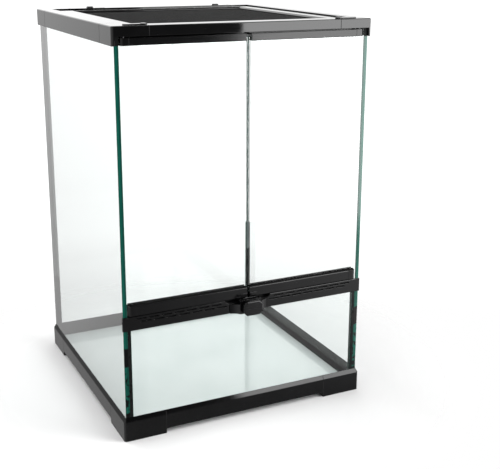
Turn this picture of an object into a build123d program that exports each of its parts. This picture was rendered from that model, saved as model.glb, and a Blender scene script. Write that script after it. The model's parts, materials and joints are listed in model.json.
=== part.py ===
from build123d import *
import os

# Front-opening glass terrarium. X runs left to right, Y from front to back, Z up.
# The origin is on the ground, under the middle of the whole outline. The latch knob stands
# out at the front, so the square tank sits behind the origin by half of what the knob adds.

os.makedirs("parts", exist_ok=True)

# Driving dimensions, in millimetres, measured from the middle of the tank
tank_side = 305.0
tank_height = 457.0
frame_wall = 3.0
outer_corner_radius = 3.0

side_glass_thick = 5.0
pane_thick = 4.0
floor_glass_thick = 3.0
floor_glass_play = 0.3
glass_arris = 0.4

# Base frame
base_height = 28.0
base_bevel_run = 2.7
base_bevel_rise = 4.6
foot_drop = 6.0
flange_thick = 2.0
flange_width = 12.0
foot_leg = 50.0
foot_width = 20.0
lap_length = 8.0
lap_low = 10.0
lap_high = 23.0

# Strips beside the front pane and seals beside the rear pane
front_strip_width = 3.5
rear_seal_width = 2.0
rear_seal_top = 440.0

# Vent rail under the doors
vent_rail_bottom = 131.0
vent_rail_top = 147.0
vent_rail_front = -151.0
vent_rail_back = -139.0
vent_rail_bevel = 0.5
vent_cap_proud = 0.6
vent_cap_return = 3.0
pane_groove_depth = 3.8
seam_groove = 0.8
slot_length = 12.2
slot_height = 1.5
slots_per_row = 7
slot_rows = [(143.8, 39.6, 14.9), (140.4, 33.1, 15.0)]  # height, first centre and pitch of a row
scoop_centre = 18.7
scoop_half_width = 9.7
scoop_drop = 5.0
scoop_depth = 7.0
stop_lip_height = 2.5
stop_lip_thick = 2.2

# Doors
door_end = 144.0
door_rail_thick = 10.0
door_rail_front = -151.5
door_rail_bevel = 0.5
door_bottom = 147.8
door_bottom_rail_height = 11.4
door_top = 445.0
door_top_rail_height = 8.0
door_glass_bottom = 152.2
door_glass_top = 441.0
door_glass_free_edge = 0.6
bottom_rail_free_end = 1.5
top_rail_free_end = 3.0
catch_width = 8.5
catch_low = 149.0
catch_high = 153.0
catch_proud = 0.8

# Hinges
pin_radius = 1.8
pin_play = 0.05
pin_in_block = 3.5
bottom_pin_reach = 4.0
top_pin_reach = 3.8
vent_bore_depth = 5.0
collar_radius = 3.2

# Latch
latch_height = 138.8
housing_half_width = 23.0
housing_flat_half = 13.5
housing_proud = 7.5
housing_end_step = 1.2
housing_wall = 1.5
knob_width = 23.5
knob_height = 17.0
knob_cut = 4.0
knob_depth = 5.2
knob_bevel = 1.0
knob_step_depth = 2.5
knob_step_inset = 1.0
knob_gap = 0.3
spindle_radius = 2.9
spindle_play = 0.08
spindle_in_knob = 5.0
cam_thick = 4.0
cam_hub_radius = 5.5
cam_lobe_radius = 4.0
cam_lobe_centre = 7.7
cam_gap = 0.5
cam_room = 0.7
clip_radius = 5.5
clip_thick = 1.2
clip_gap = 0.1

# Top frame
top_frame_bottom = 437.0
front_band_height = 10.6
top_flange_width = 16.0
top_flange_thick = 3.0
top_edge_bevel = 0.8
top_leg = 40.0
lid_web_thick = 2.0
lid_shelf_low = 449.0
lid_shelf_thick = 2.0
lid_shelf_reach = 7.0
glass_rib_thick = 1.8
glass_rib_gap = 0.2
glass_rib_drop = 7.6
glass_top_gap = 0.2
top_stop_drop = 3.4

# Screen lid
lid_gap = 0.7
lid_top_drop = 1.3
lid_opening = 229.0
lid_ledge_opening = 225.0
lid_bevel = 1.8
mesh_size = 235.0
mesh_low = 452.4
mesh_thick = 0.6
mesh_gap = 12.0
mesh_pitch = 13.5
mesh_gaps_each_way = 17

# Sliding gates over the cable inlets of the rear rail
gate_window_starts = {"left": -90.0, "right": 86.5}
gate_window_length = 24.0
gate_window_depth = 5.4
gate_centre = 141.0
gate_grip_length = 7.5
gate_grip_depth = 5.0
gate_grip_top = 459.0
gate_plate_length = 17.0
gate_plate_depth = 7.0
gate_plate_thick = 1.0
gate_cavity_low = 455.0
gate_cavity_height = 1.2
gate_play = 0.1
gate_end_play = 0.2
inlet_start = 8.3
inlet_length = 15.0
inlet_depth = 4.8

# Turn locks on the front corners
lock_x = 115.0
lock_y = -142.0
lock_tab_length = 18.5
lock_tab_width = 7.5
lock_tab_thick = 1.0
lock_lift = 0.1
lock_boss_radius = 3.4
lock_boss_height = 1.4
lock_pin_radius = 2.0
lock_pin_play = 0.05
lock_pin_low = 452.4
lock_collar_radius = 3.0
lock_collar_thick = 1.3

# Places that follow from them
half_side = tank_side / 2
glass_face = half_side - frame_wall
side_inner = glass_face - side_glass_thick
pane_inner = glass_face - pane_thick
pane_middle = glass_face - pane_thick / 2
strip_inner = side_inner - front_strip_width
seal_inner = side_inner - rear_seal_width
glass_foot = foot_drop + flange_thick
flange_underside = tank_height - top_flange_thick
glass_head = flange_underside - glass_top_gap
front_glass_head = vent_rail_bottom + pane_groove_depth
vent_rail_height = vent_rail_top - vent_rail_bottom
vent_rail_depth = vent_rail_back - vent_rail_front
stop_lip_front = vent_rail_back - stop_lip_thick
door_axis = door_rail_front + door_rail_thick / 2
block_radius = door_rail_thick / 2
pivot_x = door_end - block_radius
block_inner = pivot_x - block_radius
housing_front = vent_rail_front - housing_proud
cavity_front = housing_front + housing_wall
cam_front = cavity_front + cam_gap
knob_back = housing_front - knob_gap
knob_shoulder = knob_back - knob_step_depth
knob_front = knob_shoulder - knob_depth
clip_back = vent_rail_back + clip_gap + clip_thick
front_band_low = tank_height - front_band_height
flange_inner = half_side - top_flange_width
web_outer = flange_inner + lid_web_thick
shelf_inner = web_outer - lid_shelf_reach
lid_seat = lid_shelf_low + lid_shelf_thick
lid_half = flange_inner - lid_gap
lid_top = tank_height - lid_top_drop
tank_middle = (-knob_front - half_side) / 2

# Planes through the middle of the tank: flat on the ground, facing the front, facing the right
ground = Plane(origin=(0, tank_middle, 0))
front_view = Plane(origin=(0, tank_middle, 0), x_dir=(1, 0, 0), z_dir=(0, -1, 0))
side_view = Plane(origin=(0, tank_middle, 0), x_dir=(0, 1, 0), z_dir=(1, 0, 0))

on_floor = (Align.CENTER, Align.CENTER, Align.MIN)
sides = [("left", -1), ("right", 1)]
corners = [("front_left", -1, -1), ("front_right", 1, -1), ("rear_right", 1, 1), ("rear_left", -1, 1)]
rails = [("front", 0, -1), ("right", 1, 0), ("rear", 0, 1), ("left", -1, 0)]


# Base frame. The ring is made around the Z axis: an outer wall with a steep bevel at its top,
# a flange that carries the glass, and an L-shaped pad under each corner.
with BuildPart() as base_ring:
    with BuildSketch(Plane.XY.offset(foot_drop)):
        RectangleRounded(tank_side, tank_side, outer_corner_radius)
        Rectangle(2 * glass_face, 2 * glass_face, mode=Mode.SUBTRACT)
    extrude(amount=base_height - foot_drop)
    wall_top = base_ring.faces().sort_by(Axis.Z)[-1]
    chamfer(wall_top.outer_wire().edges(), base_bevel_run, base_bevel_rise, reference=wall_top)
    with BuildSketch(Plane.XY.offset(foot_drop)):
        RectangleRounded(tank_side, tank_side, outer_corner_radius)
        Rectangle(tank_side - 2 * flange_width, tank_side - 2 * flange_width, mode=Mode.SUBTRACT)
    extrude(amount=flange_thick)
    with BuildSketch(Plane.XY):
        RectangleRounded(tank_side, tank_side, outer_corner_radius)
        Rectangle(tank_side - 2 * foot_width, tank_side - 2 * foot_width, mode=Mode.SUBTRACT)
        Rectangle(tank_side - 2 * foot_leg, tank_side, mode=Mode.SUBTRACT)
        Rectangle(tank_side, tank_side - 2 * foot_leg, mode=Mode.SUBTRACT)
    extrude(amount=glass_foot)

# The front rail has a tongue at each end that laps behind the corner's wall
base_rail_length = tank_side - 2 * foot_leg
lap_x = (base_rail_length + lap_length) / 2
lap_y = -glass_face - frame_wall / 4
lap_height = lap_high - lap_low
with BuildPart() as front_base_rail:
    with Locations((0, -half_side, 0)):
        Box(base_rail_length, 2 * flange_width, base_height, align=on_floor)
    with Locations((-lap_x, lap_y, lap_low), (lap_x, lap_y, lap_low)):
        Box(lap_length, frame_wall / 2, lap_height, align=on_floor)
    add(base_ring.part, mode=Mode.INTERSECT)

# The front left corner has a pocket in each leg for the tongues
with BuildPart() as first_base_corner:
    add(base_ring.part)
    with Locations((-half_side, -half_side, 0)):
        Box(2 * foot_leg, 2 * foot_leg, base_height, align=on_floor, mode=Mode.INTERSECT)
    with Locations((-lap_x, lap_y, lap_low)):
        Box(lap_length, frame_wall / 2, lap_height, align=on_floor, mode=Mode.SUBTRACT)
    with Locations((lap_y, -lap_x, lap_low)):
        Box(frame_wall / 2, lap_length, lap_height, align=on_floor, mode=Mode.SUBTRACT)

# The other rails and corners are quarter turns of these two, set on the tank's ground plane
for quarter, (rail_side, _, _) in enumerate(rails):
    with BuildPart(ground) as base_rail:
        add(front_base_rail.part, rotation=(0, 0, 90 * quarter))
    base_rail.part.label = f"base_rail_{rail_side}"
    export_step(base_rail.part, f"parts/base_rail_{rail_side}.step")

for quarter, (corner_name, _, _) in enumerate(corners):
    with BuildPart(ground) as base_corner:
        add(first_base_corner.part, rotation=(0, 0, 90 * quarter))
    base_corner.part.label = f"base_corner_{corner_name}"
    export_step(base_corner.part, f"parts/base_corner_{corner_name}.step")


# Floor pane, carried by the corner pads and the flange
with BuildPart(ground) as floor_glass:
    with BuildSketch(ground.offset(glass_foot)):
        Rectangle(2 * (side_inner - floor_glass_play), 2 * (pane_inner - floor_glass_play))
    extrude(amount=floor_glass_thick)
    chamfer(floor_glass.edges().filter_by(Axis.Z), glass_arris)
floor_glass.part.label = "floor_glass"
export_step(floor_glass.part, "parts/floor_glass.step")

# Side panes run from the very front to the very back
for side_name, sign in sides:
    with BuildPart(ground) as side_glass:
        with BuildSketch(ground.offset(glass_foot)):
            with Locations((sign * (side_inner + side_glass_thick / 2), 0)):
                Rectangle(side_glass_thick, 2 * glass_face)
        extrude(amount=glass_head - glass_foot)
        chamfer(side_glass.edges().filter_by(Axis.Z), glass_arris)
    side_glass.part.label = f"side_glass_{side_name}"
    export_step(side_glass.part, f"parts/side_glass_{side_name}.step")

# Rear pane between the side panes, with a seal at each end
with BuildPart(ground) as rear_glass:
    with BuildSketch(ground.offset(glass_foot)):
        with Locations((0, pane_middle)):
            Rectangle(2 * seal_inner, pane_thick)
    extrude(amount=glass_head - glass_foot)
rear_glass.part.label = "rear_glass"
export_step(rear_glass.part, "parts/rear_glass.step")

for side_name, sign in sides:
    with BuildPart(ground) as rear_seal:
        with BuildSketch(ground.offset(glass_foot)):
            with Locations((sign * (seal_inner + rear_seal_width / 2), pane_middle)):
                Rectangle(rear_seal_width, pane_thick)
        extrude(amount=rear_seal_top - glass_foot)
    rear_seal.part.label = f"rear_seal_{side_name}"
    export_step(rear_seal.part, f"parts/rear_seal_{side_name}.step")

# Front lower pane between two strips, its top edge held in the vent rail's groove
with BuildPart(ground) as front_glass:
    with BuildSketch(ground.offset(glass_foot)):
        with Locations((0, -pane_middle)):
            Rectangle(2 * strip_inner, pane_thick)
    extrude(amount=front_glass_head - glass_foot)
front_glass.part.label = "front_glass"
export_step(front_glass.part, "parts/front_glass.step")

for side_name, sign in sides:
    with BuildPart(ground) as front_strip:
        with BuildSketch(ground.offset(glass_foot)):
            with Locations((sign * (strip_inner + front_strip_width / 2), -pane_middle)):
                Rectangle(front_strip_width, pane_thick)
        extrude(amount=vent_rail_bottom - glass_foot)
    front_strip.part.label = f"front_strip_{side_name}"
    export_step(front_strip.part, f"parts/front_strip_{side_name}.step")


# Vent rail: a bar with a stop lip for the doors and a cap over each side pane's front edge,
# two staggered rows of slots, two finger scoops, the spindle's bore and the lower hinge bores
cap_reach = glass_face + vent_cap_proud
with BuildPart(ground) as vent_rail:
    with BuildSketch(side_view):
        with BuildLine():
            Polyline(
                (vent_rail_front, vent_rail_bottom),
                (vent_rail_front, vent_rail_top - vent_rail_bevel),
                (vent_rail_front + vent_rail_bevel, vent_rail_top),
                (stop_lip_front, vent_rail_top),
                (stop_lip_front, vent_rail_top + stop_lip_height),
                (vent_rail_back, vent_rail_top + stop_lip_height),
                (vent_rail_back, vent_rail_bottom),
                close=True,
            )
        make_face()
    extrude(amount=side_inner, both=True)
    with BuildSketch(ground.offset(vent_rail_bottom)):
        for _, sign in sides:
            with Locations((sign * (side_inner + cap_reach) / 2, (vent_rail_front - glass_face) / 2)):
                Rectangle(cap_reach - side_inner, -vent_rail_front - glass_face)
            with Locations((sign * (glass_face + cap_reach) / 2, vent_rail_front + vent_cap_return / 2)):
                Rectangle(cap_reach - glass_face, vent_cap_return)
    extrude(amount=vent_rail_height)
    with Locations((0, -pane_middle, vent_rail_bottom)):
        Box(2 * strip_inner, pane_thick, pane_groove_depth, align=on_floor, mode=Mode.SUBTRACT)
    with BuildSketch(front_view.offset(-vent_rail_front)):
        for row_height, first_slot, slot_pitch in slot_rows:
            for index in range(slots_per_row):
                slot_x = first_slot + index * slot_pitch
                with Locations((slot_x, row_height), (-slot_x, row_height)):
                    SlotOverall(slot_length, slot_height)
        with Locations((0, latch_height)):
            Circle(spindle_radius + spindle_play)
    extrude(amount=-vent_rail_depth, mode=Mode.SUBTRACT)
    with BuildSketch(front_view.offset(-vent_rail_front)):
        with Locations((-scoop_centre, vent_rail_top), (scoop_centre, vent_rail_top)):
            Ellipse(scoop_half_width, scoop_drop)
    extrude(amount=-scoop_depth, mode=Mode.SUBTRACT)
    for _, sign in sides:
        with Locations((sign * (housing_half_width + seam_groove / 2), vent_rail_front, vent_rail_bottom)):
            Box(seam_groove, 2 * seam_groove, vent_rail_height, align=on_floor, mode=Mode.SUBTRACT)
    with BuildSketch(ground.offset(vent_rail_top)):
        with Locations((-pivot_x, door_axis), (pivot_x, door_axis)):
            Circle(pin_radius + pin_play)
    extrude(amount=-vent_bore_depth, mode=Mode.SUBTRACT)
vent_rail.part.label = "vent_rail"
export_step(vent_rail.part, "parts/vent_rail.step")


# Latch housing: curved ramps up to a flat front, scooped like the rail behind it,
# hollow inside and open above for the cam
ramp_foot = vent_rail_front - housing_end_step
cavity_left = -cam_hub_radius - cam_room
cavity_right = cam_lobe_centre + cam_lobe_radius + cam_room
cavity_floor = latch_height - cam_hub_radius - cam_gap
with BuildPart(ground) as latch_housing:
    with BuildSketch(ground.offset(vent_rail_bottom)):
        with BuildLine():
            Line((-housing_half_width, vent_rail_front), (-housing_half_width, ramp_foot))
            TangentArc((-housing_half_width, ramp_foot), (-housing_flat_half, housing_front), tangent=(1, 0))
            Line((-housing_flat_half, housing_front), (housing_flat_half, housing_front))
            TangentArc((housing_half_width, ramp_foot), (housing_flat_half, housing_front), tangent=(-1, 0))
            Line((housing_half_width, ramp_foot), (housing_half_width, vent_rail_front))
            Line((housing_half_width, vent_rail_front), (-housing_half_width, vent_rail_front))
        make_face()
    extrude(amount=vent_rail_height)
    with BuildSketch(front_view.offset(-vent_rail_front)):
        with Locations((-scoop_centre, vent_rail_top), (scoop_centre, vent_rail_top)):
            Ellipse(scoop_half_width, scoop_drop)
        Rectangle(2 * housing_flat_half, tank_height, mode=Mode.SUBTRACT)
    extrude(amount=housing_proud, mode=Mode.SUBTRACT)
    with Locations(((cavity_left + cavity_right) / 2, (cavity_front + vent_rail_front) / 2, cavity_floor)):
        Box(
            cavity_right - cavity_left, vent_rail_front - cavity_front, vent_rail_top - cavity_floor,
            align=on_floor, mode=Mode.SUBTRACT,
        )
    with BuildSketch(front_view.offset(-housing_front)):
        with Locations((0, latch_height)):
            Circle(spindle_radius + spindle_play)
    extrude(amount=-housing_wall, mode=Mode.SUBTRACT)
latch_housing.part.label = "latch_housing"
export_step(latch_housing.part, "parts/latch_housing.step")

# Eight-sided knob with a slimmer step behind it and a blind bore for the spindle
with BuildPart(ground) as latch_knob:
    with BuildSketch(front_view.offset(-knob_shoulder)) as knob_outline:
        with Locations((0, latch_height)):
            Rectangle(knob_width, knob_height)
        chamfer(knob_outline.vertices(), knob_cut)
    extrude(amount=knob_depth)
    chamfer(latch_knob.faces().sort_by(Axis.Y)[0].edges(), knob_bevel)
    with BuildSketch(front_view.offset(-knob_back)) as step_outline:
        with Locations((0, latch_height)):
            Rectangle(knob_width - 2 * knob_step_inset, knob_height - 2 * knob_step_inset)
        chamfer(step_outline.vertices(), knob_cut)
    extrude(amount=knob_step_depth)
    with BuildSketch(front_view.offset(-knob_back)):
        with Locations((0, latch_height)):
            Circle(spindle_radius)
    extrude(amount=spindle_in_knob, mode=Mode.SUBTRACT)
latch_knob.part.label = "latch_knob"
export_step(latch_knob.part, "parts/latch_knob.step")

# Spindle from the knob through the housing, the cam and the rail to a clip behind the rail
with BuildPart(ground) as latch_spindle:
    with BuildSketch(front_view.offset(-clip_back)):
        with Locations((0, latch_height)):
            Circle(spindle_radius)
    extrude(amount=clip_back - knob_back + spindle_in_knob)
latch_spindle.part.label = "latch_spindle"
export_step(latch_spindle.part, "parts/latch_spindle.step")

with BuildPart(ground) as latch_cam:
    with BuildSketch(front_view.offset(-cam_front)):
        with Locations((0, latch_height)):
            Circle(cam_hub_radius)
        with Locations((cam_lobe_centre / 2, latch_height)):
            Rectangle(cam_lobe_centre, 2 * cam_lobe_radius)
        with Locations((cam_lobe_centre, latch_height)):
            Circle(cam_lobe_radius)
        with Locations((0, latch_height)):
            Circle(spindle_radius, mode=Mode.SUBTRACT)
    extrude(amount=-cam_thick)
latch_cam.part.label = "latch_cam"
export_step(latch_cam.part, "parts/latch_cam.step")

with BuildPart(ground) as latch_clip:
    with BuildSketch(front_view.offset(-clip_back)):
        with Locations((0, latch_height)):
            Circle(clip_radius)
            Circle(spindle_radius, mode=Mode.SUBTRACT)
    extrude(amount=clip_thick)
latch_clip.part.label = "latch_clip"
export_step(latch_clip.part, "parts/latch_clip.step")


# Doors: a pane in the grooves of a bottom and a top rail, with a hinge block at each rail's end.
# Each level gives the rail's foot, its height, its free end and where the pin's hole starts.
door_levels = [
    ("bottom", door_bottom, door_bottom_rail_height, bottom_rail_free_end, door_bottom),
    ("top", door_top - door_top_rail_height, door_top_rail_height, top_rail_free_end, door_top - pin_in_block),
]
door_glass_height = door_glass_top - door_glass_bottom
for side_name, sign in sides:
    with BuildPart(ground) as door_glass:
        with Locations((sign * (door_glass_free_edge + door_end) / 2, door_axis, door_glass_bottom)):
            Box(door_end - door_glass_free_edge, pane_thick, door_glass_height, align=on_floor)
    door_glass.part.label = f"door_glass_{side_name}"
    export_step(door_glass.part, f"parts/door_glass_{side_name}.step")

    for level, rail_low, rail_height, free_end, pin_hole_low in door_levels:
        with BuildPart(ground) as door_rail:
            with Locations((sign * (free_end + block_inner) / 2, door_axis, rail_low)):
                Box(block_inner - free_end, door_rail_thick, rail_height, align=on_floor)
            chamfer(door_rail.edges().filter_by(Axis.X).group_by(Axis.Y)[0], door_rail_bevel)
            with Locations((sign * (free_end + block_inner) / 2, door_axis, door_glass_bottom)):
                Box(
                    block_inner - free_end, pane_thick, door_glass_height,
                    align=on_floor, mode=Mode.SUBTRACT,
                )
        door_rail.part.label = f"door_{level}_rail_{side_name}"
        export_step(door_rail.part, f"parts/door_{level}_rail_{side_name}.step")

        with BuildPart(ground) as hinge_block:
            with BuildSketch(ground.offset(rail_low)):
                with Locations((sign * (block_inner + pivot_x) / 2, door_axis)):
                    Rectangle(pivot_x - block_inner, door_rail_thick)
                with Locations((sign * pivot_x, door_axis)):
                    Circle(block_radius)
            extrude(amount=rail_height)
            with Locations((sign * pivot_x, door_axis, door_glass_bottom)):
                Box(
                    2 * block_radius, pane_thick, door_glass_height,
                    align=on_floor, mode=Mode.SUBTRACT,
                )
            with BuildSketch(ground.offset(pin_hole_low)):
                with Locations((sign * pivot_x, door_axis)):
                    Circle(pin_radius)
            extrude(amount=pin_in_block, mode=Mode.SUBTRACT)
        hinge_block.part.label = f"hinge_block_{level}_{side_name}"
        export_step(hinge_block.part, f"parts/hinge_block_{level}_{side_name}.step")

    # The lower pin's collar carries the door on the vent rail
    with BuildPart(ground) as hinge_pin_bottom:
        with BuildSketch(ground.offset(vent_rail_top - bottom_pin_reach)):
            with Locations((sign * pivot_x, door_axis)):
                Circle(pin_radius)
        extrude(amount=bottom_pin_reach + door_bottom - vent_rail_top + pin_in_block)
        with BuildSketch(ground.offset(vent_rail_top)):
            with Locations((sign * pivot_x, door_axis)):
                Circle(collar_radius)
        extrude(amount=door_bottom - vent_rail_top)
    hinge_pin_bottom.part.label = f"hinge_pin_bottom_{side_name}"
    export_step(hinge_pin_bottom.part, f"parts/hinge_pin_bottom_{side_name}.step")

    with BuildPart(ground) as hinge_pin_top:
        with BuildSketch(ground.offset(door_top - pin_in_block)):
            with Locations((sign * pivot_x, door_axis)):
                Circle(pin_radius)
        extrude(amount=pin_in_block + top_pin_reach)
    hinge_pin_top.part.label = f"hinge_pin_top_{side_name}"
    export_step(hinge_pin_top.part, f"parts/hinge_pin_top_{side_name}.step")

    # Small plate on the rail's front face that the latch cam rises in front of
    catch_x = sign * (bottom_rail_free_end + catch_width / 2)
    with BuildPart(ground) as door_catch:
        with Locations((catch_x, door_rail_front - catch_proud / 2, catch_low)):
            Box(catch_width, catch_proud, catch_high - catch_low, align=on_floor)
    door_catch.part.label = f"door_catch_{side_name}"
    export_step(door_catch.part, f"parts/door_catch_{side_name}.step")


# Top frame. Its ring is made around the Z axis too: a wall, a top flange, a web and shelf
# that hold the lid, ribs that guide the panes, and at the front a shallower band that stands
# over the doors, with a stop lip behind them and the upper hinge bores.
rib_face = side_inner - glass_rib_gap
rear_rib_face = pane_inner - glass_rib_gap
with BuildPart() as top_ring:
    with BuildSketch(Plane.XY.offset(top_frame_bottom)):
        RectangleRounded(tank_side, tank_side, outer_corner_radius)
        Rectangle(2 * glass_face, 2 * glass_face, mode=Mode.SUBTRACT)
    extrude(amount=tank_height - top_frame_bottom)
    with BuildSketch(Plane.XY.offset(flange_underside)):
        RectangleRounded(tank_side, tank_side, outer_corner_radius)
        Rectangle(2 * flange_inner, 2 * flange_inner, mode=Mode.SUBTRACT)
    extrude(amount=top_flange_thick)
    chamfer(top_ring.faces().sort_by(Axis.Z)[-1].outer_wire().edges(), top_edge_bevel)
    with BuildSketch(Plane.XY.offset(lid_shelf_low)):
        Rectangle(2 * web_outer, 2 * web_outer)
        Rectangle(2 * flange_inner, 2 * flange_inner, mode=Mode.SUBTRACT)
    extrude(amount=flange_underside - lid_shelf_low)
    with BuildSketch(Plane.XY.offset(lid_shelf_low)):
        Rectangle(2 * web_outer, 2 * web_outer)
        Rectangle(2 * shelf_inner, 2 * shelf_inner, mode=Mode.SUBTRACT)
    extrude(amount=lid_shelf_thick)
    with BuildSketch(Plane.XY.offset(flange_underside)):
        for _, sign in sides:
            with Locations((sign * (rib_face - glass_rib_thick / 2), (rear_rib_face - glass_face) / 2)):
                Rectangle(glass_rib_thick, rear_rib_face + glass_face)
        with Locations((0, rear_rib_face - glass_rib_thick / 2)):
            Rectangle(2 * rib_face, glass_rib_thick)
    extrude(amount=-glass_rib_drop)
    with Locations((0, -half_side, top_frame_bottom)):
        Box(
            2 * glass_face, 2 * frame_wall, front_band_low - top_frame_bottom,
            align=on_floor, mode=Mode.SUBTRACT,
        )
    with BuildSketch(Plane.XY.offset(front_band_low)):
        with Locations((0, -(glass_face + flange_inner) / 2)):
            Rectangle(2 * rib_face, glass_face - flange_inner)
        with Locations((-pivot_x, door_axis), (pivot_x, door_axis)):
            Circle(pin_radius + pin_play, mode=Mode.SUBTRACT)
    extrude(amount=lid_shelf_low - front_band_low)
    with BuildSketch(Plane.XY.offset(front_band_low)):
        with Locations((0, vent_rail_back - stop_lip_thick / 2)):
            Rectangle(2 * rib_face, stop_lip_thick)
    extrude(amount=-top_stop_drop)
    # Inlet, hidden cavity and window of each cable gate
    for window_start in gate_window_starts.values():
        cavity_start = window_start + gate_grip_length - gate_plate_length
        cavity_length = window_start + gate_window_length - cavity_start
        with Locations((cavity_start + cavity_length / 2, gate_centre, gate_cavity_low)):
            Box(
                cavity_length, gate_plate_depth + 2 * gate_play, gate_cavity_height,
                align=on_floor, mode=Mode.SUBTRACT,
            )
        with Locations((window_start + gate_window_length / 2, gate_centre, gate_cavity_low)):
            Box(
                gate_window_length, gate_window_depth, top_flange_thick,
                align=on_floor, mode=Mode.SUBTRACT,
            )
        with Locations((window_start + inlet_start + inlet_length / 2, gate_centre, flange_underside)):
            Box(inlet_length, inlet_depth, top_flange_thick, align=on_floor, mode=Mode.SUBTRACT)
    # Bore of each turn lock
    with BuildSketch(Plane.XY.offset(tank_height)):
        with Locations((-lock_x, lock_y), (lock_x, lock_y)):
            Circle(lock_pin_radius + lock_pin_play)
    extrude(amount=-top_flange_thick, mode=Mode.SUBTRACT)

rail_span = tank_side - 2 * top_leg
leg_middle = half_side - top_leg / 2
for rail_side, x_sign, y_sign in rails:
    rail_box_x = rail_span if y_sign else top_leg
    rail_box_y = rail_span if x_sign else top_leg
    with BuildPart(ground) as top_rail:
        add(top_ring.part)
        with Locations((x_sign * leg_middle, y_sign * leg_middle, 0)):
            Box(rail_box_x, rail_box_y, tank_height, align=on_floor, mode=Mode.INTERSECT)
    top_rail.part.label = f"top_rail_{rail_side}"
    export_step(top_rail.part, f"parts/top_rail_{rail_side}.step")

for corner_name, x_sign, y_sign in corners:
    with BuildPart(ground) as top_corner:
        add(top_ring.part)
        with Locations((x_sign * leg_middle, y_sign * leg_middle, 0)):
            Box(top_leg, top_leg, tank_height, align=on_floor, mode=Mode.INTERSECT)
    top_corner.part.label = f"top_corner_{corner_name}"
    export_step(top_corner.part, f"parts/top_corner_{corner_name}.step")


# Screen lid: a frame with a sloped inner edge, a ledge under the mesh and a groove around it
with BuildPart(ground) as screen_frame:
    with BuildSketch(ground.offset(lid_seat)):
        Rectangle(2 * lid_half, 2 * lid_half)
        Rectangle(lid_ledge_opening, lid_ledge_opening, mode=Mode.SUBTRACT)
    extrude(amount=lid_top - lid_seat)
    with BuildSketch(ground.offset(mesh_low)):
        Rectangle(lid_opening, lid_opening)
    extrude(amount=lid_top - mesh_low, mode=Mode.SUBTRACT)
    chamfer(screen_frame.faces().sort_by(Axis.Z)[-1].inner_wires()[0].edges(), lid_bevel)
    with BuildSketch(ground.offset(mesh_low)):
        Rectangle(mesh_size, mesh_size)
    extrude(amount=mesh_thick, mode=Mode.SUBTRACT)
screen_frame.part.label = "screen_frame"
export_step(screen_frame.part, "parts/screen_frame.step")

# The mesh is one thin face with square gaps
with BuildPart(ground) as screen_mesh:
    with BuildSketch(ground.offset(mesh_low)):
        Rectangle(mesh_size, mesh_size)
        with GridLocations(mesh_pitch, mesh_pitch, mesh_gaps_each_way, mesh_gaps_each_way):
            Rectangle(mesh_gap, mesh_gap, mode=Mode.SUBTRACT)
    extrude(amount=mesh_thick)
screen_mesh.part.label = "screen_mesh"
export_step(screen_mesh.part, "parts/screen_mesh.step")


# Cable gates: a plate that slides inside the rear rail, with a grip standing through the window
gate_foot = gate_cavity_low + gate_play
for side_name, window_start in gate_window_starts.items():
    grip_end = window_start + gate_end_play + gate_grip_length
    with BuildPart(ground) as inlet_gate:
        with Locations((grip_end - gate_plate_length / 2, gate_centre, gate_foot)):
            Box(gate_plate_length, gate_plate_depth, gate_plate_thick, align=on_floor)
        with Locations((grip_end - gate_grip_length / 2, gate_centre, gate_foot)):
            Box(gate_grip_length, gate_grip_depth, gate_grip_top - gate_foot, align=on_floor)
    inlet_gate.part.label = f"inlet_gate_{side_name}"
    export_step(inlet_gate.part, f"parts/inlet_gate_{side_name}.step")


# Turn locks: a rounded tab with a boss, pressed on a pin that snaps under the corner's flange
tab_foot = tank_height + lock_lift
for side_name, sign in sides:
    with BuildPart(ground) as lid_lock:
        with BuildSketch(ground.offset(tab_foot)):
            with Locations((sign * (lock_x + lock_tab_length / 2), lock_y)):
                SlotCenterToCenter(lock_tab_length, lock_tab_width)
        extrude(amount=lock_tab_thick)
        with BuildSketch(ground.offset(tab_foot)):
            with Locations((sign * lock_x, lock_y)):
                Circle(lock_boss_radius)
        extrude(amount=lock_boss_height)
        with BuildSketch(ground.offset(tab_foot)):
            with Locations((sign * lock_x, lock_y)):
                Circle(lock_pin_radius)
        extrude(amount=lock_tab_thick, mode=Mode.SUBTRACT)
    lid_lock.part.label = f"lid_lock_{side_name}"
    export_step(lid_lock.part, f"parts/lid_lock_{side_name}.step")

    with BuildPart(ground) as lock_pin:
        with BuildSketch(ground.offset(lock_pin_low)):
            with Locations((sign * lock_x, lock_y)):
                Circle(lock_pin_radius)
        extrude(amount=tab_foot + lock_tab_thick - lock_pin_low)
        with BuildSketch(ground.offset(lock_pin_low)):
            with Locations((sign * lock_x, lock_y)):
                Circle(lock_collar_radius)
        extrude(amount=lock_collar_thick)
    lock_pin.part.label = f"lock_pin_{side_name}"
    export_step(lock_pin.part, f"parts/lock_pin_{side_name}.step")
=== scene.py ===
import json
import math
import random

import bmesh
import bpy
from mathutils import Matrix, Vector


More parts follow.
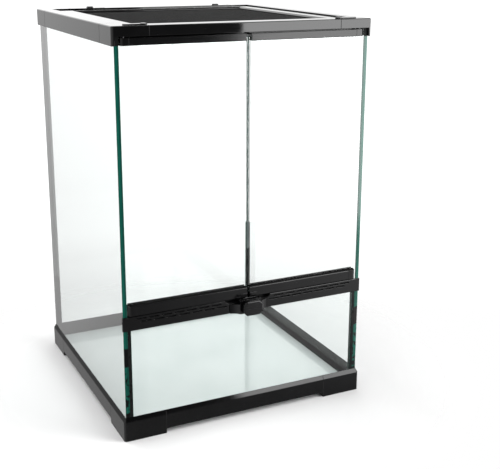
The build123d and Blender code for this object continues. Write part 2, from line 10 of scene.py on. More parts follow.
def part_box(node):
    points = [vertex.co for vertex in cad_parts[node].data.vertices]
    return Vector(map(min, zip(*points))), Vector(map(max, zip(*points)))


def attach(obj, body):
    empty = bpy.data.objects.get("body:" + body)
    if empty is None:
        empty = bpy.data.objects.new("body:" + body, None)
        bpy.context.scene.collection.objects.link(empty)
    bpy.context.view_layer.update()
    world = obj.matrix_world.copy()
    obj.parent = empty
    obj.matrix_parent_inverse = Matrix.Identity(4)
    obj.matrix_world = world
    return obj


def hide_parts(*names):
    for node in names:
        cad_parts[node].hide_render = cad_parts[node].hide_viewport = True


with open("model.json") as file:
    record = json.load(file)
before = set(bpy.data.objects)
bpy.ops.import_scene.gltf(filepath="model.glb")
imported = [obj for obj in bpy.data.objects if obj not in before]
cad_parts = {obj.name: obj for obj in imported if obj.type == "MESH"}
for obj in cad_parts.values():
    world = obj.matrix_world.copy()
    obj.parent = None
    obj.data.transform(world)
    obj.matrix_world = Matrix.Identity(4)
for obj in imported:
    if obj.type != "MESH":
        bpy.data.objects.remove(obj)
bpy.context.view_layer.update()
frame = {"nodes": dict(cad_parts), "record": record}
cadNodes = frame["nodes"]
sides = [("left", -1), ("right", 1)]
mm = 0.001


# Camera, as the picture was taken: near, and a little to the left
cameraSetup = {
    "place": (-0.4381, -1.0385, 0.5302),
    "azimuth": -26.185,  # degrees round the object, 0 looks along +Y
    "elevation": 15.336,
    "roll": 0.292,
    "focalPixels": 928.6,
    "pictureWidth": 500,
    "sensor": 36.0,
    "shiftUp": -0.06,
    "nearest": 0.01,
}


def makeCamera():
    setup = cameraSetup
    azimuth, elevation, roll = (math.radians(setup[angle]) for angle in ("azimuth", "elevation", "roll"))
    back = Vector((
        math.sin(azimuth) * math.cos(elevation),
        -math.cos(azimuth) * math.cos(elevation),
        math.sin(elevation),
    ))
    right = (-back).cross(Vector((0, 0, 1))).normalized()
    up = right.cross(-back)
    tiltedRight = math.cos(roll) * right + math.sin(roll) * up
    tiltedUp = -math.sin(roll) * right + math.cos(roll) * up
    turn = Matrix((tiltedRight, tiltedUp, back)).transposed().to_4x4()
    data = bpy.data.cameras.new("pictureCamera")
    data.sensor_width = setup["sensor"]
    data.lens = setup["sensor"] * setup["focalPixels"] / setup["pictureWidth"]
    data.shift_y = setup["shiftUp"]
    data.clip_start = setup["nearest"]
    obj = bpy.data.objects.new("pictureCamera", data)
    obj.matrix_world = Matrix.Translation(setup["place"]) @ turn
    bpy.context.scene.collection.objects.link(obj)
    bpy.context.scene.camera = obj


# Light: a white room behind, a dark one in front, and tall soft panels at the front right.
# A pair such as "horizon" holds two values of one part of a direction, and the light fades between them.
lightSetup = {
    "seenWhite": 1.3,  # what the camera sees past the object
    "seenFloor": 1.0,
    "seenHeights": (-0.36, -0.29),
    "dim": 0.035,
    "left": 0.9,
    "rear": 0.6,
    "lowFall": (-0.42, 0.0, 0.6, 1.0),  # left and rear are darker low down, where the floor is near
    "backdrop": 0.7,  # more behind, above the horizon only
    "horizon": (-0.01, 0.05),
    "darkWall": 0.9,  # share that a low dark wall on the left takes away
    "darkWallReach": (-0.43, -0.33),
    "darkWallFoot": (-0.06, 0.0),
    "darkWallHead": (0.18, 0.3),
    "frontFloor": 0.58,
    "frontFloorReach": (-0.1, 0.2),
    "rightFloor": 0.9,
    "rightFloorReach": (0.3, 0.55),
    "rightFloorNear": (-0.45, -0.38),
    "rightFloorFar": (-0.3, -0.15),
    "overhead": 1.4,
    "overheadAim": (-0.15, 0.5, 0.85),
    "overheadFocus": 3.0,
    "panelCorner": (0.34, -0.87),  # left edge of the panels, seen from the object
    "panelTurn": 21.4,  # degrees
    "panels": [(0.0, 1.0, 0.0, 1.0), (0.22, 1.1, 1.0, 1.9)],  # left and right along the panel, foot and head
    "panelGlow": 6.2,  # radiance
}


def mathNode(tree, operation, a, b=None):
    node = tree.nodes.new("ShaderNodeMath")
    node.operation = operation
    for index, value in enumerate((a, b)):
        if value is None:
            continue
        if isinstance(value, bpy.types.NodeSocket):
            tree.links.new(value, node.inputs[index])
        else:
            node.inputs[index].default_value = value
    return node.outputs[0]


def mapTo(tree, value, fromLow, fromHigh, toLow, toHigh):
    node = tree.nodes.new("ShaderNodeMapRange")
    for key, number in (
        ("From Min", fromLow), ("From Max", fromHigh), ("To Min", toLow), ("To Max", toHigh),
    ):
        node.inputs[key].default_value = number
    tree.links.new(value, node.inputs["Value"])
    return node.outputs["Result"]


def makeWorld():
    setup = lightSetup
    world = bpy.data.worlds.new("studio")
    bpy.context.scene.world = world
    world.use_nodes = True
    tree = world.node_tree
    tree.nodes.clear()
    where = tree.nodes.new("ShaderNodeTexCoord")
    split = tree.nodes.new("ShaderNodeSeparateXYZ")
    tree.links.new(where.outputs["Generated"], split.inputs[0])
    x, y, z = split.outputs

    def times(a, b):
        return mathNode(tree, "MULTIPLY", a, b)

    def positive(value):
        return mathNode(tree, "MAXIMUM", value, 0.0)

    def rising(value, reach, top=1.0):
        return mapTo(tree, value, *reach, 0.0, top)

    def falling(value, reach, top=1.0):
        return mapTo(tree, value, *reach, top, 0.0)

    lowFall = mapTo(tree, z, *setup["lowFall"])
    backdrop = times(rising(z, setup["horizon"]), setup["backdrop"])
    behind = times(positive(y), mathNode(tree, "ADD", times(lowFall, setup["rear"]), backdrop))
    aside = times(times(positive(times(x, -1.0)), lowFall), setup["left"])
    low = times(rising(z, setup["darkWallFoot"]), falling(z, setup["darkWallHead"]))
    lit = mathNode(tree, "SUBTRACT", 1.0, times(low, falling(x, setup["darkWallReach"], setup["darkWall"])))
    behind, aside = times(behind, lit), times(aside, lit)
    before = times(times(positive(times(z, -1.0)), setup["frontFloor"]), falling(y, setup["frontFloorReach"]))
    distant = times(rising(z, setup["rightFloorNear"]), falling(z, setup["rightFloorFar"]))
    glowing = times(rising(x, setup["rightFloorReach"], setup["rightFloor"]), distant)
    aim = tree.nodes.new("ShaderNodeVectorMath")
    aim.operation = "DOT_PRODUCT"
    tree.links.new(where.outputs["Generated"], aim.inputs[0])
    aim.inputs[1].default_value = setup["overheadAim"]
    upward = mathNode(tree, "POWER", positive(aim.outputs["Value"]), setup["overheadFocus"])
    above = times(upward, setup["overhead"])
    total = setup["dim"]
    for part in (behind, aside, before, glowing, above):
        total = mathNode(tree, "ADD", part, total)
    glow = tree.nodes.new("ShaderNodeBackground")
    glow.inputs["Color"].default_value = (1, 1, 1, 1)
    tree.links.new(total, glow.inputs["Strength"])
    white = tree.nodes.new("ShaderNodeBackground")
    white.inputs["Color"].default_value = (1, 1, 1, 1)
    seen = mapTo(tree, z, *setup["seenHeights"], setup["seenFloor"], setup["seenWhite"])
    tree.links.new(seen, white.inputs["Strength"])
    path = tree.nodes.new("ShaderNodeLightPath")
    mix = tree.nodes.new("ShaderNodeMixShader")
    out = tree.nodes.new("ShaderNodeOutputWorld")
    for source, target in (
        (path.outputs["Is Camera Ray"], mix.inputs[0]), (glow.outputs[0], mix.inputs[1]),
        (white.outputs[0], mix.inputs[2]), (mix.outputs[0], out.inputs[0]),
    ):
        tree.links.new(source, target)


def makePanels():
    setup = lightSetup
    angle = math.radians(setup["panelTurn"])
    along = Vector((math.cos(angle), math.sin(angle), 0))
    facing = Vector((-math.sin(angle), math.cos(angle), 0))
    corner = Vector((*setup["panelCorner"], 0))
    for left, right, foot, head in setup["panels"]:
        data = bpy.data.lights.new("softPanel", "AREA")
        data.shape = "RECTANGLE"
        data.size, data.size_y = right - left, head - foot
        data.energy = setup["panelGlow"] * math.pi * data.size * data.size_y
        obj = bpy.data.objects.new("softPanel", data)
        middle = corner + along * (left + right) / 2 + Vector((0, 0, (foot + head) / 2))
        obj.matrix_world = Matrix.Translation(middle) @ facing.to_track_quat("-Z", "Y").to_matrix().to_4x4()
        obj.visible_camera = False
        bpy.context.scene.collection.objects.link(obj)


# Materials. A noise lies mostly within one of these spreads of its values.
wideSpread = (0.3, 0.7)
midSpread = (0.35, 0.65)


def newMaterial(name):
    mat = bpy.data.materials.new(name)
    mat.use_nodes = True
    tree = mat.node_tree
    tree.nodes.clear()
    out = tree.nodes.new("ShaderNodeOutputMaterial")
    shader = tree.nodes.new("ShaderNodeBsdfPrincipled")
    tree.links.new(shader.outputs[0], out.inputs["Surface"])
    return mat, tree, shader


def noise(tree, scale, detail=2.0, stretch=(1, 1, 1)):
    where = tree.nodes.new("ShaderNodeTexCoord")
    mapping = tree.nodes.new("ShaderNodeMapping")
    mapping.inputs["Scale"].default_value = stretch
    tree.links.new(where.outputs["Object"], mapping.inputs["Vector"])
    node = tree.nodes.new("ShaderNodeTexNoise")
    node.inputs["Scale"].default_value = scale
    node.inputs["Detail"].default_value = detail
    tree.links.new(mapping.outputs[0], node.inputs["Vector"])
    return node.outputs["Fac"]


def ramp(tree, value, spread, colours):
    node = tree.nodes.new("ShaderNodeValToRGB")
    for element, position, colour in zip(node.color_ramp.elements, spread, colours):
        element.position = position
        element.color = (*colour, 1.0)
    tree.links.new(value, node.inputs[0])
    return node.outputs["Color"]


def bump(tree, height, distance, strength):
    node = tree.nodes.new("ShaderNodeBump")
    node.inputs["Distance"].default_value = distance
    node.inputs["Strength"].default_value = strength
    tree.links.new(height, node.inputs["Height"])
    return node.outputs["Normal"]


def objectPlace(tree):
    where = tree.nodes.new("ShaderNodeTexCoord")
    split = tree.nodes.new("ShaderNodeSeparateXYZ")
    tree.links.new(where.outputs["Object"], split.inputs[0])
    return split.outputs


def between(tree, value, low, high):
    above = mathNode(tree, "GREATER_THAN", value, low)
    return mathNode(tree, "MULTIPLY", above, mathNode(tree, "LESS_THAN", value, high))


def mixValues(tree, factor, first, second):
    return mathNode(tree, "ADD", first, mathNode(
        tree, "MULTIPLY", factor, mathNode(tree, "SUBTRACT", second, first)
    ))


plasticSetup = {
    "dark": (0.0015, 0.0015, 0.0017),
    "pale": (0.0035, 0.0035, 0.0038),
    "cloudScale": 35.0,
    "streakScale": 90.0,
    "grainScale": 1400.0,
    "grainDepth": 0.02 * mm,
    "dullRoughness": 0.8,
    "seamHalf": 0.35 * mm,
    "lidReach": 136.5 * mm,  # the lid ends inside this, and has no seams
    "tankMiddle": 7 * mm,  # along Y
    "ventSlots": ((-143.5 * mm, -132.6 * mm), (132 * mm, 146.2 * mm)),  # their inside, along Y and Z
}


def seamLines(tree, seam):
    setup = plasticSetup
    x, y = objectPlace(tree)[:2]
    aside = mathNode(tree, "ABSOLUTE", x)
    along = mathNode(tree, "ABSOLUTE", mathNode(tree, "SUBTRACT", y, setup["tankMiddle"]))
    low, high = seam - setup["seamHalf"], seam + setup["seamHalf"]
    line = mathNode(tree, "MAXIMUM", between(tree, aside, low, high), between(tree, along, low, high))
    outer = mathNode(tree, "GREATER_THAN", mathNode(tree, "MAXIMUM", aside, along), setup["lidReach"])
    return mathNode(tree, "MULTIPLY", line, outer)


def blackPlastic(name, roughness, gloss, streaks=(1, 1, 1), grain=0.35, hollow=None, seam=None):
    mat, tree, shader = newMaterial(name)
    setup = plasticSetup
    cloud = noise(tree, setup["cloudScale"], detail=4.0)
    streak = noise(tree, setup["streakScale"], detail=3.0, stretch=streaks)
    tree.links.new(ramp(tree, cloud, wideSpread, (setup["dark"], setup["pale"])), shader.inputs["Base Color"])
    rough = mapTo(tree, streak, *wideSpread, *roughness)
    if hollow is not None:  # it is dull in there
        depthRange, heightRange = hollow
        y, z = objectPlace(tree)[1:]
        inside = mathNode(tree, "MULTIPLY", between(tree, y, *depthRange), between(tree, z, *heightRange))
        rough = mixValues(tree, inside, rough, setup["dullRoughness"])
    if seam is not None:  # so is the joint between a rail and its corner piece
        rough = mixValues(tree, seamLines(tree, seam), rough, setup["dullRoughness"])
    tree.links.new(rough, shader.inputs["Roughness"])
    shader.inputs["Specular IOR Level"].default_value = gloss
    fine = noise(tree, setup["grainScale"], detail=1.0)
    tree.links.new(bump(tree, fine, setup["grainDepth"], grain), shader.inputs["Normal"])
    return mat


glassSetup = {
    "tint": (0.985, 0.995, 0.992),
    "headOn": 0.04,  # share mirrored by one face seen head on
    "steepness": 5.0,  # how late that share grows as the view slants
    "smear": (0.0, 0.03),
    "smearScale": 14.0,
    "smearSpread": (0.35, 0.75),
}


def clearGlass(name, tint=glassSetup["tint"], shine=1.0):
    mat = bpy.data.materials.new(name)
    mat.use_nodes = True
    tree = mat.node_tree
    tree.nodes.clear()
    setup = glassSetup
    out = tree.nodes.new("ShaderNodeOutputMaterial")
    through = tree.nodes.new("ShaderNodeBsdfTransparent")
    through.inputs["Color"].default_value = (*tint, 1.0)
    mirror = tree.nodes.new("ShaderNodeBsdfAnisotropic")
    mirror.inputs["Color"].default_value = (1, 1, 1, 1)
    smear = mapTo(tree, noise(tree, setup["smearScale"], detail=4.0), *setup["smearSpread"], *setup["smear"])
    tree.links.new(smear, mirror.inputs["Roughness"])
    slant = tree.nodes.new("ShaderNodeLayerWeight")  # 0 seen head on, 1 along the surface
    slant.inputs["Blend"].default_value = 0.5
    steep = mathNode(tree, "POWER", slant.outputs["Facing"], setup["steepness"])
    oneFace = mapTo(tree, steep, 0.0, 1.0, setup["headOn"], 1.0)
    bothFaces = mathNode(tree, "DIVIDE", oneFace, mapTo(tree, oneFace, 0.0, 1.0, 0.5, 1.0))  # 2r / (1 + r)
    mix = tree.nodes.new("ShaderNodeMixShader")
    tree.links.new(mathNode(tree, "MULTIPLY", bothFaces, shine), mix.inputs[0])
    tree.links.new(through.outputs[0], mix.inputs[1])
    tree.links.new(mirror.outputs[0], mix.inputs[2])
    tree.links.new(mix.outputs[0], out.inputs["Surface"])
    return mat


edgeSetup = {
    "deep": (0.003, 0.062, 0.044),
    "bright": (0.006, 0.105, 0.075),
    "roughness": (0.08, 0.2),
    "streakScale": 60.0,
    "streakStretch": (20, 20, 0.6),
    "inside": 0.35,  # how much darker the inner part of a side pane's edge is
    "insideReach": (146.2 * mm, 147.6 * mm),
    # sealant black, also used as painted shade where the edge stands under the top frame
    "sealant": (0.002, 0.0025, 0.0025),
    "band": (88 * mm, 110 * mm),
    "wobble": 1.5 * mm,  # of the band's ends
    "wobbleScale": 150.0,
    "mottleTop": 90 * mm,
    "mottleLow": 20 * mm,
    "mottleScale": 260.0,
    "mottleCut": (0.44, 0.66),  # a blot shows where its noise is over this, low down and at the top
    "frameFoot": 437 * mm,  # above it the edge stands in the dark of the top frame: painted shade, sealant black and dull
    "frameRoughness": 0.9,
    "polished": (0.8, 0.93, 0.9),
}


def mixColours(tree, factor, first, second):
    node = tree.nodes.new("ShaderNodeMix")
    node.data_type = "RGBA"
    tree.links.new(factor, node.inputs["Factor"])
    for socket, value in ((node.inputs["A"], first), (node.inputs["B"], second)):
        if isinstance(value, bpy.types.NodeSocket):
            tree.links.new(value, socket)
        else:
            socket.default_value = (*value, 1.0)
    return node.outputs["Result"]


def uneven(tree, value, scale, reach):  # a value moved up and down by noise
    return mathNode(tree, "ADD", value, mapTo(tree, noise(tree, scale), *wideSpread, -reach, reach))


def greenEdge(name, gloss, withSealantAndShade):
    mat, tree, shader = newMaterial(name)
    setup = edgeSetup
    streak = noise(tree, setup["streakScale"], detail=3.0, stretch=setup["streakStretch"])
    colour = ramp(tree, streak, midSpread, (setup["deep"], setup["bright"]))
    rough = mapTo(tree, streak, *wideSpread, *setup["roughness"])
    if withSealantAndShade:
        place = objectPlace(tree)
        height = place[2]
        aside = mathNode(tree, "ABSOLUTE", place[0])
        inward = mapTo(tree, aside, *setup["insideReach"], setup["inside"], 0.0)
        colour = mixColours(tree, inward, colour, setup["sealant"])
        inBand = between(tree, uneven(tree, height, setup["wobbleScale"], setup["wobble"]), *setup["band"])
        blot = noise(tree, setup["mottleScale"], detail=3.0, stretch=(1, 1, 0.7))
        cut = mapTo(tree, height, setup["mottleLow"], setup["mottleTop"], *setup["mottleCut"])
        blotted = mathNode(
            tree, "MULTIPLY",
            mathNode(tree, "GREATER_THAN", blot, cut),
            mathNode(tree, "LESS_THAN", height, setup["mottleTop"]),
        )
        # painted shade: above the frame's foot the edge is painted sealant black and made dull, for the shade
        # under the top frame; the band and the blots lower down are real sealant
        frameShade = mathNode(tree, "GREATER_THAN", height, setup["frameFoot"])
        black = mathNode(tree, "MAXIMUM", mathNode(tree, "MAXIMUM", inBand, blotted), frameShade)
        colour = mixColours(tree, black, colour, setup["sealant"])
        rough = mixValues(tree, frameShade, rough, setup["frameRoughness"])
    tree.links.new(colour, shader.inputs["Base Color"])
    tree.links.new(rough, shader.inputs["Roughness"])
    shader.inputs["Specular IOR Level"].default_value = gloss
    return mat


jointSetup = {
    "sealantTop": (97 * mm, 99 * mm),  # black below, clear above
    "wobble": 1 * mm,
    "wobbleScale": 150.0,
    "sealant": (0.002, 0.002, 0.002),
    "deep": (0.075, 0.08, 0.08),
    "bright": (0.13, 0.14, 0.14),
    "streakScale": 70.0,
    "streakStretch": (12, 12, 0.5),
    "gloss": 0.3,
}


def rearJoint(name, roughness):
    mat, tree, shader = newMaterial(name)
    setup = jointSetup
    streak = noise(tree, setup["streakScale"], detail=3.0, stretch=setup["streakStretch"])
    colour = ramp(tree, streak, midSpread, (setup["deep"], setup["bright"]))
    height = uneven(tree, objectPlace(tree)[2], setup["wobbleScale"], setup["wobble"])
    low = mapTo(tree, height, *setup["sealantTop"], 1.0, 0.0)
    tree.links.new(mixColours(tree, low, colour, setup["sealant"]), shader.inputs["Base Color"])
    tree.links.new(mapTo(tree, streak, *wideSpread, *roughness), shader.inputs["Roughness"])
    shader.inputs["Specular IOR Level"].default_value = setup["gloss"]
    return mat


def mottled(
    name, low, high, roughness, scale, stretch=(1, 1, 1), metallic=0.0, depth=0.02 * mm, alpha=1.0, gloss=0.5,
):
    mat, tree, shader = newMaterial(name)
    pattern = noise(tree, scale, detail=3.0, stretch=stretch)
    tree.links.new(ramp(tree, pattern, midSpread, (low, high)), shader.inputs["Base Color"])
    tree.links.new(mapTo(tree, pattern, *wideSpread, *roughness), shader.inputs["Roughness"])
    shader.inputs["Metallic"].default_value = metallic
    shader.inputs["Alpha"].default_value = alpha
    shader.inputs["Specular IOR Level"].default_value = gloss
    tree.links.new(bump(tree, pattern, distance=depth, strength=0.4), shader.inputs["Normal"])
    return mat


finishes = {
    "frame": blackPlastic(
        "frameGloss", roughness=(0.03, 0.06), gloss=0.5, streaks=(0.4, 0.4, 6), grain=0.1,
        seam=112.5 * mm,
    ),
    "base": blackPlastic("baseGloss", roughness=(0.06, 0.11), gloss=0.38, grain=0.2, seam=102.5 * mm),
    "rail": blackPlastic(
        "railGloss", roughness=(0.1, 0.17), gloss=0.4, streaks=(0.25, 3, 14),
        hollow=plasticSetup["ventSlots"],
    ),
    "knob": blackPlastic("knobSatin", roughness=(0.2, 0.32), gloss=0.4, streaks=(0.25, 3, 14)),
    "inner": mottled(
        "innerPlastic", (0.008, 0.008, 0.009), (0.016, 0.016, 0.017), roughness=(0.4, 0.55), scale=220.0,
    ),
    "glass": clearGlass("clearPane"),
    "glassInside": clearGlass("clearPaneInside", shine=0.0),  # the outer face mirrors for both
    "edge": greenEdge("greenEdge", gloss=0.4, withSealantAndShade=False),
    "doorEdge": clearGlass("polishedEdge", edgeSetup["polished"], shine=0.2),
    "leftEdge": greenEdge("leftEdgeSealantAndShade", gloss=0.2, withSealantAndShade=True),
    "rightEdge": greenEdge("rightEdgeSealantAndShade", gloss=0.45, withSealantAndShade=True),
    "rearEdge": rearJoint("rearJointEdge", roughness=(0.15, 0.3)),
    "floor": mottled(
        "floorPane", (0.61, 0.665, 0.655), (0.665, 0.715, 0.705), roughness=(0.03, 0.08), scale=12.0,
        alpha=0.9,
    ),
    "rearSeal": rearJoint("rearJointSealant", roughness=(0.3, 0.45)),
    "blackSeal": mottled(
        "blackSealant", (0.002, 0.002, 0.002), (0.006, 0.006, 0.006), roughness=(0.25, 0.42), scale=240.0,
        depth=0.1 * mm, gloss=0.25,
    ),
    "bead": mottled(
        "blackBead", (0.0015, 0.0015, 0.0015), (0.004, 0.004, 0.004), roughness=(0.6, 0.75), scale=240.0,
        depth=0.1 * mm, gloss=0.06,
    ),
    "wire": mottled(
        "coatedWire", (0.004, 0.004, 0.004), (0.01, 0.01, 0.01), roughness=(0.5, 0.65), scale=900.0,
        gloss=0.15,
    ),
    "steel": mottled(
        "blackenedSteel", (0.03, 0.03, 0.031), (0.06, 0.06, 0.062), roughness=(0.25, 0.4), scale=300.0,
        stretch=(1, 1, 14), metallic=0.9,
    ),
}
print("materials made:", len(finishes))


# Every CAD node gets a finish, also those whose copies below stand for them
def finishOf(node):
    if node.startswith("hinge_pin"):
        return "steel"
    if node in ("latch_spindle", "latch_cam", "latch_clip") or node.startswith(("lock_pin", "inlet_")):
        return "inner"
    if node.startswith("rear_seal"):
        return "rearSeal"
    if node.startswith("front_strip"):
        return "blackSeal"
    if node.startswith("base_"):
        return "base"
    if node.startswith(("top_", "screen_", "lid_")):
        return "frame"
    if node == "latch_knob":
        return "knob"
    return "rail"


def bodyOf(node):
    bodies = frame["record"]["behaviour"]["bodies"]
    return next(body for body, group in bodies.items() if node in group)


for nodeName, nodeObject in cadNodes.items():
    nodeObject.data.materials.clear()
    nodeObject.data.materials.append(finishes[finishOf(nodeName)])


# Moulded pieces: the CAD shape with its sharp edges softened
mouldSetup = {
    "edge": 0.3 * mm,
    "edges": {  # pieces with narrow walls or steps, by the start of their names
        "base_": 0.12 * mm, "latch_housing": 0.12 * mm, "lid_lock": 0.12 * mm,
        "hinge_block": 0.2 * mm, "top_corner": 0.2 * mm, "vent_rail": 0.2 * mm, "latch_knob": 0.4 * mm,
    },
    "steps": 2,
    "gentlest": 28.0,  # degrees: a gentler fold stays as it is
    "flangeUnderside": 454 * mm,  # edges on this hidden face stay as they are
    "level": 0.01 * mm,
    "merge": 0.002 * mm,
    "flatter": 0.5,  # degrees: faces this close to one plane are joined
    "flatShare": 100,  # of the shading normals that the large faces set
    "slot": "black_plastic",
}


def mouldedCopy(node):
    setup = mouldSetup
    bm = bmesh.new()
    bm.from_mesh(cadNodes[node].data)
    bmesh.ops.remove_doubles(bm, verts=bm.verts, dist=setup["merge"])
    bmesh.ops.dissolve_limit(bm, angle_limit=math.radians(setup["flatter"]), verts=bm.verts, edges=bm.edges)
    weight = bm.edges.layers.float.new("bevel_weight_edge")
    for edge in bm.edges:
        hidden = all(abs(vert.co.z - setup["flangeUnderside"]) < setup["level"] for vert in edge.verts)
        gentle = edge.calc_face_angle(0.0) < math.radians(setup["gentlest"])
        edge[weight] = 0.0 if hidden or gentle else 1.0
    for face in bm.faces:
        face.smooth = True
    mesh = bpy.data.meshes.new(node + "_moulded")
    bm.to_mesh(mesh)
    bm.free()
    mesh.materials.append(finishes[finishOf(node)])
    obj = bpy.data.objects.new(node + "_moulded", mesh)
    bpy.context.scene.collection.objects.link(obj)
    soft = obj.modifiers.new("softEdges", "BEVEL")
    widths = (width for start, width in setup["edges"].items() if node.startswith(start))
    soft.width = next(widths, setup["edge"])
    soft.segments = setup["steps"]
    soft.limit_method = "WEIGHT"
    soft.loop_slide = False
    soft.use_clamp_overlap = False
    flat = obj.modifiers.new("flatFaces", "WEIGHTED_NORMAL")
    flat.weight = setup["flatShare"]
    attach(obj, bodyOf(node))
    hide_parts(node)


for subpart in frame["record"]["subparts"]:
    if subpart["material_slot"] == mouldSetup["slot"]:
        mouldedCopy(subpart["node"])
print("moulded pieces made")


# Glass panes: a ground arris on every edge, clear faces, green edges.
# finishNames are for the outside, the inside, the edges and the rear edge,
# and polished is the side, -1 or 1 along X, whose edge is clear.
paneSetup = {
    "arris": 0.35 * mm,
    "arrisSteps": 2,
    "squarely": 0.99,  # a broad face's normal points at least this much outward or inward
    "mostly": 0.5,  # and an edge's normal this much to its side
}


def makePane(node, thinAxis, outward, finishNames, polished=0):
    setup = paneSetup
    low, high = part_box(node)
    size, middle = high - low, (high + low) / 2
    bm = bmesh.new()
    bmesh.ops.create_cube(bm, size=1.0)
    bmesh.ops.scale(bm, vec=size, verts=bm.verts)
    bmesh.ops.translate(bm, vec=middle, verts=bm.verts)
    bmesh.ops.bevel(
        bm, geom=bm.edges[:], offset=setup["arris"], segments=setup["arrisSteps"],
        profile=0.5, affect="EDGES",
    )
    bmesh.ops.recalc_face_normals(bm, faces=bm.faces)
    for face in bm.faces:
        facing = face.normal[thinAxis] * outward
        if facing > setup["squarely"]:
            face.material_index = 0
        elif facing < -setup["squarely"] or face.normal.x * polished > setup["mostly"]:
            face.material_index = 1
        else:
            face.material_index = 3 if face.normal.y > setup["mostly"] else 2
    mesh = bpy.data.meshes.new(node + "_pane")
    bm.to_mesh(mesh)
    bm.free()
    for finish in finishNames:
        mesh.materials.append(finishes[finish])
    obj = bpy.data.objects.new(node + "_pane", mesh)
    bpy.context.scene.collection.objects.link(obj)
    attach(obj, bodyOf(node))
    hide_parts(node)


for sideName, sign in sides:
    makePane("side_glass_" + sideName, 0, sign, ("glass", "glassInside", sideName + "Edge", "rearEdge"))
    makePane("door_glass_" + sideName, 1, -1, ("glass", "glassInside", "doorEdge", "doorEdge"), polished=sign)
makePane("rear_glass", 1, 1, ("glass", "glassInside", "rearEdge", "rearEdge"))
makePane("front_glass", 1, -1, ("glass", "glassInside", "edge", "edge"))
makePane("floor_glass", 2, -1, ("floor", "floor", "edge", "edge"))
print("panes made")


# Beads of black sealant where a door's pane stands in its bottom rail, one on each face
beadSetup = {
    "width": 2.4 * mm,
    "height": 1.7 * mm,
    "uneven": 0.12 * mm,
    "sunk": 0.1 * mm,
    "steps": 6,
    "pitch": 3.5 * mm,
    "ends": (1.9 * mm, 141.5 * mm),
    "seed": 11,
}


def makeBeads(sideName, sign):
    setup = beadSetup
    dice = random.Random(setup["seed"] + sign)
    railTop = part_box("door_bottom_rail_" + sideName)[1].z
    low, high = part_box("door_glass_" + sideName)
    start, end = setup["ends"]
    count = round((end - start) / setup["pitch"])
    bm = bmesh.new()
    for faceY, outward in ((low.y, -1), (high.y, 1)):
        rings = []
        for index in range(count + 1):
            width = setup["width"] - dice.random() * setup["uneven"]
            height = setup["height"] - dice.random() * setup["uneven"]
            outline = [(-setup["sunk"], -setup["sunk"]), (width, -setup["sunk"])]
            for step in range(1, setup["steps"] + 1):
                angle = math.pi / 2 * step / setup["steps"]
                outline.append((width * math.cos(angle), height * math.sin(angle)))
            outline.append((-setup["sunk"], height))
            x = sign * (start + (end - start) * index / count)
            rings.append([bm.verts.new((x, faceY + outward * y, railTop + z)) for y, z in outline])
        for near, far in zip(rings, rings[1:]):
            for this in range(len(near)):
                after = (this + 1) % len(near)
                side = bm.faces.new((near[this], near[after], far[after], far[this]))
                side.smooth = 1 < this < len(near) - 2  # the round part
        bm.faces.new(rings[0])
        bm.faces.new(rings[-1])
    bmesh.ops.recalc_face_normals(bm, faces=bm.faces)
    mesh = bpy.data.meshes.new("door_bead_" + sideName)
    bm.to_mesh(mesh)
    bm.free()
    mesh.materials.append(finishes["bead"])
    obj = bpy.data.objects.new("door_bead_" + sideName, mesh)
    bpy.context.scene.collection.objects.link(obj)
    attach(obj, sideName + "_door")


for sideName, sign in sides:
    makeBeads(sideName, sign)
print("beads made")


# Woven screen of the lid
screenSetup = {
    "span": 233.0 * mm,
    "pitch": 1.8 * mm,
    "wireRadius": 0.17 * mm,
    "wave": 0.13 * mm,
    "wireSides": 4,
}


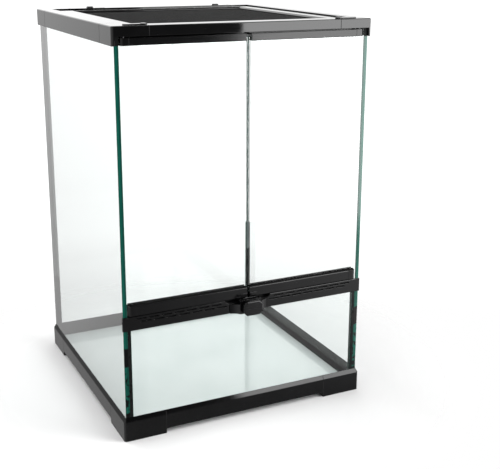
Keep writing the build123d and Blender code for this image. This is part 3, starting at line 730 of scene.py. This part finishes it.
def wovenTree():
    tree = bpy.data.node_groups.new("wovenWires", "GeometryNodeTree")
    face = tree.interface
    face.new_socket("Geometry", in_out="OUTPUT", socket_type="NodeSocketGeometry")
    inputs = {}
    for label, kind in (
        ("Span", "NodeSocketFloat"), ("Pitch", "NodeSocketFloat"), ("Wire Radius", "NodeSocketFloat"),
        ("Wave", "NodeSocketFloat"), ("Wires", "NodeSocketInt"), ("Sides", "NodeSocketInt"),
        ("Turn", "NodeSocketFloat"), ("Place", "NodeSocketVector"), ("Wire", "NodeSocketMaterial"),
    ):
        inputs[label] = face.new_socket(label, in_out="INPUT", socket_type=kind).identifier
    given = tree.nodes.new("NodeGroupInput")
    out = tree.nodes.new("NodeGroupOutput")
    link = tree.links.new

    def calc(operation, a, b=None):
        return mathNode(tree, operation, a, b)

    def vector(x=None, y=None, z=None):
        node = tree.nodes.new("ShaderNodeCombineXYZ")
        for index, value in enumerate((x, y, z)):
            if value is not None:
                link(value, node.inputs[index])
        return node.outputs[0]

    half = calc("MULTIPLY", given.outputs["Span"], 0.5)
    minusHalf = calc("MULTIPLY", given.outputs["Span"], -0.5)
    line = tree.nodes.new("GeometryNodeMeshLine")  # where the wires stand
    line.mode = "END_POINTS"
    link(given.outputs["Wires"], line.inputs["Count"])
    link(vector(x=minusHalf), line.inputs["Start Location"])
    link(vector(x=half), line.inputs["Offset"])
    wire = tree.nodes.new("GeometryNodeCurvePrimitiveLine")  # one straight wire
    link(vector(y=minusHalf), wire.inputs["Start"])
    link(vector(y=half), wire.inputs["End"])
    points = tree.nodes.new("GeometryNodeResampleCurve")
    link(wire.outputs[0], points.inputs["Curve"])
    link(given.outputs["Wires"], points.inputs["Count"])
    copies = tree.nodes.new("GeometryNodeInstanceOnPoints")
    link(line.outputs[0], copies.inputs["Points"])
    link(points.outputs[0], copies.inputs["Instance"])
    real = tree.nodes.new("GeometryNodeRealizeInstances")
    link(copies.outputs[0], real.inputs[0])
    where = tree.nodes.new("GeometryNodeInputPosition")
    split = tree.nodes.new("ShaderNodeSeparateXYZ")
    link(where.outputs[0], split.inputs[0])
    across = calc("ADD", calc("ADD", split.outputs[0], split.outputs[1]), given.outputs["Span"])
    steps = calc("DIVIDE", across, given.outputs["Pitch"])
    rise = calc("MULTIPLY", calc("COSINE", calc("MULTIPLY", steps, math.pi)), given.outputs["Wave"])
    weave = tree.nodes.new("GeometryNodeSetPosition")
    link(real.outputs[0], weave.inputs["Geometry"])
    link(vector(z=rise), weave.inputs["Offset"])
    section = tree.nodes.new("GeometryNodeCurvePrimitiveCircle")
    link(given.outputs["Sides"], section.inputs["Resolution"])
    link(given.outputs["Wire Radius"], section.inputs["Radius"])
    tube = tree.nodes.new("GeometryNodeCurveToMesh")
    tube.inputs["Fill Caps"].default_value = True
    link(weave.outputs[0], tube.inputs["Curve"])
    link(section.outputs[0], tube.inputs["Profile Curve"])
    move = tree.nodes.new("GeometryNodeTransform")
    link(tube.outputs[0], move.inputs["Geometry"])
    link(given.outputs["Place"], move.inputs["Translation"])
    link(vector(z=given.outputs["Turn"]), move.inputs["Rotation"])
    last = tree.nodes.new("GeometryNodeRealizeInstances")
    link(move.outputs[0], last.inputs[0])
    paint = tree.nodes.new("GeometryNodeSetMaterial")
    link(last.outputs[0], paint.inputs["Geometry"])
    link(given.outputs["Wire"], paint.inputs["Material"])
    link(paint.outputs[0], out.inputs[0])
    return tree, inputs


def grown(name, tree, inputs, values, body, node):
    holder = bpy.data.objects.new(name + "Holder", bpy.data.meshes.new(name + "Holder"))
    bpy.context.scene.collection.objects.link(holder)
    modifier = holder.modifiers.new("grow", "NODES")
    modifier.node_group = tree
    for label, value in values.items():
        modifier[inputs[label]] = value
    graph = bpy.context.evaluated_depsgraph_get()
    mesh = bpy.data.meshes.new_from_object(holder.evaluated_get(graph))
    mesh.name = name
    bpy.data.objects.remove(holder)
    obj = bpy.data.objects.new(name, mesh)
    bpy.context.scene.collection.objects.link(obj)
    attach(obj, body)
    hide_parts(node)
    return obj


def makeScreen():
    setup = screenSetup
    low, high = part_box("screen_mesh")
    middle = (low + high) / 2
    wires = 2 * round(setup["span"] / setup["pitch"] / 2) + 1
    tree, inputs = wovenTree()
    for name, turn, sign in (("screen_warp_wires", 0.0, 1), ("screen_weft_wires", math.pi / 2, -1)):
        obj = grown(name, tree, inputs, {
            "Span": setup["span"], "Pitch": setup["span"] / (wires - 1), "Wire Radius": setup["wireRadius"],
            "Wave": sign * setup["wave"], "Wires": wires, "Sides": setup["wireSides"], "Turn": turn,
            "Place": tuple(middle), "Wire": finishes["wire"],
        }, "screen_lid", "screen_mesh")
        print(name, len(obj.data.polygons), "faces")


makeScreen()


# Floor of the studio: a pale disc that fades into the white room, with painted shade: its colour is darker on
# the right, where the panels light it most
stageSetup = {
    "radius": 0.38,
    "segments": 96,
    "fade": (0.25, 0.36),  # distance from the middle where it starts to fade, and where it is gone
    "left": (0.87, 0.87, 0.87),
    "right": (0.58, 0.58, 0.58),
    "turn": (-0.05, 0.2),  # from left to right, where one colour turns into the other
    "roughness": 0.9,
}


def makeStage():
    setup = stageSetup
    bm = bmesh.new()
    bmesh.ops.create_circle(bm, cap_ends=True, segments=setup["segments"], radius=setup["radius"])
    mesh = bpy.data.meshes.new("studioFloor")
    bm.to_mesh(mesh)
    bm.free()
    mat, tree, shader = newMaterial("studioFloor")
    # painted shade: the floor's colour turns darker towards the right
    side = mapTo(tree, objectPlace(tree)[0], *setup["turn"], 0.0, 1.0)
    tree.links.new(mixColours(tree, side, setup["left"], setup["right"]), shader.inputs["Base Color"])
    shader.inputs["Roughness"].default_value = setup["roughness"]
    shader.inputs["Specular IOR Level"].default_value = 0.0
    where = tree.nodes.new("ShaderNodeTexCoord")
    reach = tree.nodes.new("ShaderNodeVectorMath")
    reach.operation = "LENGTH"
    tree.links.new(where.outputs["Object"], reach.inputs[0])
    tree.links.new(mapTo(tree, reach.outputs["Value"], *setup["fade"], 1.0, 0.0), shader.inputs["Alpha"])
    mesh.materials.append(mat)
    obj = bpy.data.objects.new("studioFloor", mesh)
    bpy.context.scene.collection.objects.link(obj)
    obj.visible_glossy = False  # the white room alone is what the plastic and the glass mirror


makeStage()
makeWorld()
makePanels()
makeCamera()
view = bpy.context.scene.view_settings
view.view_transform = "Standard"
view.look = "None"
print("camera, light and floor made")
